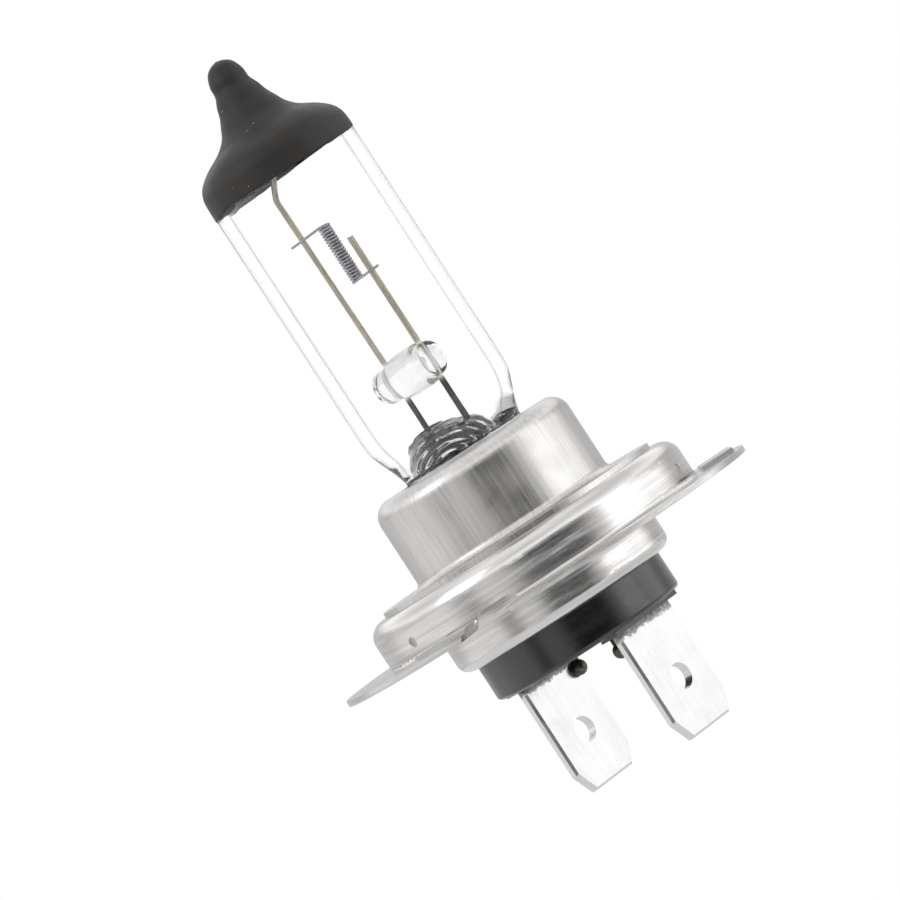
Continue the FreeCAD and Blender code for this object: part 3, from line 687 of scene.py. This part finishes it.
def blackout_cap(material):
    """The paint on the tip: a thin closed skin with an uneven lower edge."""
    low, high = millimetres("tip_coating")
    glass_high = millimetres("glass_envelope")[1]
    shoulder = low.z + PAINT_DROP
    outer = []
    inner = []
    for up, reach in skin_profile(shoulder, glass_high.x, glass_high.z):
        lean = lean_at(up, shoulder)
        outer.append(ring_points(up, reach + PAINT_COAT, lean, wobble=0.006))
        inner.append(ring_points(up, reach + PAINT_FOOT, lean))
    for rings in (outer, inner):
        rings[0] = [ragged_edge(point, low.z) for point in rings[0]]
        for row in range(1, BLEND_ROWS):
            share = row / BLEND_ROWS
            rings[row] = [
                (x, y, (1 - share) * foot[2] + share * even[2])
                for (x, y, _), foot, even in zip(rings[row], rings[0], rings[BLEND_ROWS])
            ]
    side = CAMERA_ACROSS * TIP_LEAN
    under = (side.x, side.y, glass_high.z + PAINT_FOOT)
    over = (side.x, side.y, min(glass_high.z + PAINT_COAT, high.z))
    verts, faces = shell_of(inner[::-1] + outer, under, over)
    piece = mesh_piece("blackout_cap", verts, faces, material)
    settle(piece, "tip_coating", "tip_coating")


def ragged_edge(point, level):
    """A point of the paint's lower edge, which slants and has a small run at one side."""
    x, y, _ = point
    place = Vector((x, y, 0.0)) / TUBE_RADIUS
    side = place.dot(CAMERA_ACROSS)
    back = -place.dot(CAMERA_TOWARDS)
    slant = 0.2 * side + 0.3 * back + 0.3 * side * back
    quick = noise.noise(Vector((1.1 * x, 1.1 * y, 7.7)))
    run = 0.22 * math.exp(-(((side + 0.95) / 0.09) ** 2))
    return (x, y, level - 0.05 + slant + 0.07 * quick - run)


# ---------------------------------------------------------------- filament and bridge


BAR_STEPS = 64  # rows along the bridge, and points round it
WIRE_PLACES = (-2.05, 2.05)  # the two wires, along X
BARREL_MIDDLE = 0.5
BAR_POINT = 0.06  # how far the middle of each end stands out


def turned_bar(name, line, radius_at, material):
    """A closed round bar along X, whose radius changes along it and round it."""
    rings = []
    for x, y, z, radius in line:
        ring = []
        for j in range(BAR_STEPS):
            angle = 2 * math.pi * j / BAR_STEPS
            reach = radius * radius_at(x, angle)
            ring.append((x, y + reach * math.cos(angle), z + reach * math.sin(angle)))
        rings.append(ring)
    foot = (line[0][0] - BAR_POINT, line[0][1], line[0][2])
    crown = (line[-1][0] + BAR_POINT, line[-1][1], line[-1][2])
    verts, faces = shell_of(rings, foot, crown)
    return mesh_piece(name, verts, faces, material)


def melted_bridge(material):
    """The glass bar melted round both wires: a barrel with a slight sag and a ringed right end."""
    low, high = millimetres("glass_bridge")
    middle = (low.z + high.z) / 2
    full = (high.z - low.z) / 2 - 0.06
    left_end, right_end = low.x + 0.08, high.x - 0.45
    line = []
    for i in range(BAR_STEPS + 1):
        share = (1 - math.cos(math.pi * i / BAR_STEPS)) / 2
        x = left_end + (right_end - left_end) * share
        end, rounding = (x - left_end, 0.70) if share < 0.5 else (right_end - x, 0.24)
        reach = full * math.sqrt(max(0.0, 1 - (1 - min(end / rounding, 1.0)) ** 2.4))
        line.append((x, 0.0, middle - 0.03 * math.sin(math.pi * share), max(reach, 0.3)))

    def swell(x, angle):
        waist = sum(math.exp(-(((x - wire) / 0.4) ** 2)) for wire in WIRE_PLACES)
        soft = noise.noise(Vector((0.9 * x, 1.2 * math.cos(angle), 1.2 * math.sin(angle))))
        slim, reach = (0.76, 2.5) if x < BARREL_MIDDLE else (0.64, 1.75)
        barrel = slim + (0.98 - slim) * math.exp(-(((x - BARREL_MIDDLE) / reach) ** 4))
        bead = 0.07 * math.exp(-(((right_end - 0.25 - x) / 0.25) ** 2))
        return barrel + bead - 0.02 * waist + 0.02 * soft

    piece = turned_bar("melted_bridge", line, swell, material)
    settle(piece, "quartz_glass", "glass_bridge")


COIL_TURNS = 19.0
COIL_RADIUS = 0.41
COIL_WIRE = 0.1  # radius of the wire
COIL_PLACE = 0.4  # the coil's axis, along X
COIL_PLAY = 0.02  # kept inside the CAD outline


def coil_tree(material):
    """Geometry nodes for a filament: a close coil and a straight leg at each end."""
    tree = bpy.data.node_groups.new("filament_coil", "GeometryNodeTree")
    tree.interface.new_socket("Geometry", in_out="OUTPUT", socket_type="NodeSocketGeometry")
    for name in ("Turns", "Coil Radius", "Coil Length", "Wire Radius", "Left Leg", "Right Leg"):
        tree.interface.new_socket(name, in_out="INPUT", socket_type="NodeSocketFloat")
    r = Recipe(tree)
    given = r.add("NodeGroupInput").outputs
    ring = r.add("GeometryNodeCurvePrimitiveCircle", Resolution=10, Radius=given["Wire Radius"])
    coil = r.add(
        "GeometryNodeCurveSpiral",
        Resolution=22,
        Rotations=given["Turns"],
        Start_Radius=given["Coil Radius"],
        End_Radius=given["Coil Radius"],
        Height=given["Coil Length"],
    )
    half = r.math("MULTIPLY", given["Coil Length"], 0.5)
    under = r.math("MULTIPLY", half, -1.0)
    front = r.math("MULTIPLY", given["Coil Radius"], -1.0)
    down = r.add("ShaderNodeCombineXYZ", Z=under).outputs[0]
    quarter = r.add("FunctionNodeEulerToRotation", Euler=(0.0, 0.0, -math.pi / 2)).outputs[0]
    turned = r.add(
        "GeometryNodeTransform", Geometry=coil.outputs[0], Translation=down, Rotation=quarter
    )
    wound = r.add("GeometryNodeCurveToMesh", Curve=turned.outputs[0], Profile_Curve=ring.outputs[0])
    wound.inputs["Fill Caps"].default_value = True
    gather = r.add("GeometryNodeJoinGeometry")
    tree.links.new(wound.outputs[0], gather.inputs[0])
    left = r.math("MULTIPLY", given["Left Leg"], -1.0)
    for reach, level in ((left, half), (given["Right Leg"], under)):
        start = r.add("ShaderNodeCombineXYZ", X=0.0, Y=front, Z=level).outputs[0]
        end = r.add("ShaderNodeCombineXYZ", X=reach, Y=front, Z=level).outputs[0]
        leg = r.add("GeometryNodeCurvePrimitiveLine", Start=start, End=end)
        rod = r.add("GeometryNodeCurveToMesh", Curve=leg.outputs[0], Profile_Curve=ring.outputs[0])
        rod.inputs["Fill Caps"].default_value = True
        tree.links.new(rod.outputs[0], gather.inputs[0])
    smooth = r.add("GeometryNodeSetShadeSmooth", Geometry=gather.outputs[0])
    real = r.add("GeometryNodeRealizeInstances", Geometry=smooth.outputs[0])
    finish = r.add("GeometryNodeSetMaterial", Geometry=real.outputs[0])
    finish.inputs["Material"].default_value = material
    out = r.add("NodeGroupOutput")
    tree.links.new(finish.outputs[0], out.inputs[0])
    return tree


def grown_piece(name, tree, sizes, at, material):
    """A plain mesh grown by a geometry node tree, with its place put into the mesh."""
    carrier = bpy.data.objects.new(name + "_grower", bpy.data.meshes.new(name + "_grower"))
    bpy.context.scene.collection.objects.link(carrier)
    grower = carrier.modifiers.new("grow", "NODES")
    grower.node_group = tree
    for item in tree.interface.items_tree:
        if item.in_out == "INPUT":
            grower[item.identifier] = sizes[item.name]
    graph = bpy.context.evaluated_depsgraph_get()
    mesh = bpy.data.meshes.new_from_object(carrier.evaluated_get(graph))
    bpy.data.objects.remove(carrier)
    mesh.transform(Matrix.Translation(at))
    mesh.materials.clear()
    mesh.materials.append(material)
    piece = bpy.data.objects.new(name, mesh)
    bpy.context.scene.collection.objects.link(piece)
    return piece


def filament_coil(material):
    """The tungsten coil between the two support wires."""
    low, high = millimetres("filament")
    sizes = {
        "Turns": COIL_TURNS,
        "Coil Radius": COIL_RADIUS * MM,
        "Coil Length": (high.z - low.z - 2 * COIL_WIRE - COIL_PLAY) * MM,
        "Wire Radius": COIL_WIRE * MM,
        "Left Leg": (COIL_PLACE - low.x - COIL_PLAY) * MM,
        "Right Leg": (high.x - COIL_PLACE - COIL_PLAY) * MM,
    }
    at = Vector((COIL_PLACE, 0.0, (low.z + high.z) / 2)) * MM
    piece = grown_piece("filament_coil", coil_tree(material), sizes, at, material)
    settle(piece, "tungsten", "filament")


# ---------------------------------------------------------------- light and floor


MIRROR_STRENGTH = 1.8
DIFFUSE_STRENGTH = 0.95
GLASS_GAIN = 0.13  # makes up for the light lost through the glass
FLOOR_DROP = 250.0
FLOOR_RADIUS = 1400.0
FLOOR_SIDES = 96


def studio_light():
    """White all round where it is seen directly, and bright and dark panels where mirrored."""
    world = bpy.data.worlds.new("studio")
    bpy.context.scene.world = world
    world.use_nodes = True
    world.node_tree.nodes.clear()
    r = Recipe(world.node_tree)
    looked = r.add("ShaderNodeTexCoord").outputs["Generated"]
    turned = r.add("ShaderNodeMapping", Vector=looked, Rotation=(0.0, 0.0, -CAMERA_FACING))
    parts = r.add("ShaderNodeSeparateXYZ", Vector=turned.outputs["Vector"]).outputs
    turn = r.math("ARCTAN2", parts["Y"], parts["X"])
    share = r.math("ADD", r.math("DIVIDE", turn, 2 * math.pi), 0.5)
    around = [
        (-180, 0.35),
        (-140, 0.40),
        (-112, 0.62),
        (-70, 0.60),
        (-50, 0.20),
        (-38, 0.52),
        (-26, 0.46),
        (-4, 0.05),
        (30, 0.04),
        (64, 0.90),
        (106, 0.95),
        (128, 0.36),
        (180, 0.40),
    ]
    stops = [(0.5 + degrees / 360, tone) for degrees, tone in around]
    panels = r.ramp(share, stops, "EASE")
    upward = [
        (0.0, 0.16),
        (0.34, 0.30),
        (0.41, 0.06),
        (0.50, 0.14),
        (0.60, 0.32),
        (0.70, 0.80),
        (0.85, 0.55),
        (1.0, 0.70),
    ]
    height = r.ramp(r.math("ADD", r.math("MULTIPLY", parts["Z"], 0.5), 0.5), upward, "EASE")
    tilt = r.math("ABSOLUTE", parts["Z"])
    cover = r.ramp(tilt, [(0.0, 0.0), (0.10, 0.0), (0.30, 1.0)], "EASE")
    mirrored = r.mix(cover, panels, height)

    def glow(colour, strength):
        made = r.add("ShaderNodeBackground", Color=r.colour(colour), Strength=strength)
        return made.outputs[0]

    def blend(factor, first, second):
        made = r.add("ShaderNodeMixShader", Fac=factor, i1=first, i2=second)
        return made.outputs[0]

    path = r.add("ShaderNodeLightPath").outputs
    through = r.math("MULTIPLY_ADD", path["Is Transmission Ray"], GLASS_GAIN)
    r.feed(through.node, "i2", 1.0)
    seen = blend(path["Is Diffuse Ray"], glow(WHITE, through), glow(WHITE, DIFFUSE_STRENGTH))
    bounced = r.math("MULTIPLY", path["Is Glossy Ray"], path["Is Reflection Ray"])
    r.add("ShaderNodeOutputWorld", Surface=blend(bounced, seen, glow(mirrored, MIRROR_STRENGTH)))


def soft_panel(name, towards, distance, size, power):
    """A square studio light, aimed at the bulb's middle."""
    lamp = bpy.data.lights.new(name, "AREA")
    lamp.shape = "SQUARE"
    lamp.size = size
    lamp.energy = power
    panel = bpy.data.objects.new(name, lamp)
    bpy.context.scene.collection.objects.link(panel)
    aim = towards.normalized()
    panel.matrix_world = aim.to_track_quat("Z", "Y").to_matrix().to_4x4()
    panel.matrix_world.translation = CAMERA_TARGET + aim * distance
    panel.visible_camera = False


def pale_floor():
    """A plain pale disc, far enough below the bulb to stay out of low views."""
    material, r, shader = new_finish("floor_paper", (0.93, 0.93, 0.93), 0.0, 0.9)
    tone = r.ramp(r.grain((0.02, 0.02, 0.02), 0.5), [(0.3, 0.91), (0.7, 0.95)])
    r.feed(shader, "Base Color", tone)
    level = cad_box[0][2] / MM - FLOOR_DROP
    rim = []
    for j in range(FLOOR_SIDES):
        angle = 2 * math.pi * j / FLOOR_SIDES
        rim.append((FLOOR_RADIUS * math.cos(angle), FLOOR_RADIUS * math.sin(angle), level))
    faces = [(j, (j + 1) % FLOOR_SIDES, FLOOR_SIDES) for j in range(FLOOR_SIDES)]
    floor = mesh_piece("floor", rim + [(0.0, 0.0, level)], faces, material)


# ---------------------------------------------------------------- the bulb


def dress(material, *nodes):
    """Gives CAD nodes their finish."""
    for name in nodes:
        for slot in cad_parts[name].material_slots:
            slot.material = material


place_camera()
bpy.context.scene.view_settings.view_transform = "Standard"
studio_light()
key_side = CAMERA_TOWARDS * 0.7 - CAMERA_ACROSS * 1.1 + UP * 0.9
fill_side = CAMERA_TOWARDS * 0.5 + CAMERA_ACROSS * 1.2 + UP * 0.2
soft_panel("key_panel", key_side, distance=0.6, size=0.35, power=0.5)
soft_panel("fill_panel", fill_side, distance=0.6, size=0.3, power=0.2)
pale_floor()

press_level = millimetres("collar")[1].z - 1.4
glass_bulb(quartz_skin(), quartz_bore(), pressed_glass(press_level))
blackout_cap(tip_paint())
filament_coil(drawn_tungsten())
melted_bridge(bridge_glass())

bridge_low, bridge_top = (corner.z for corner in millimetres("glass_bridge"))
rods = ("support_wire_long", "support_wire_short", "lead_wire_a", "lead_wire_b")
dress(support_metal(bridge_low, bridge_top), *rods)
dress(seal_metal(), "seal_foil_a", "seal_foil_b")
dress(collar_steel(), "collar")
dress(flange_steel(), "prefocus_ring", "rear_shell")
dress(clip_metal(), "pinch_clip", "ring_spot_weld_1", "ring_spot_weld_2", "ring_spot_weld_3")
dress(base_plastic(), "insulator")
dress(tab_plating(millimetres("insulator")[0].z), "blade_a", "blade_b")
dress(weld_bead(), "lead_weld_a", "lead_weld_b")
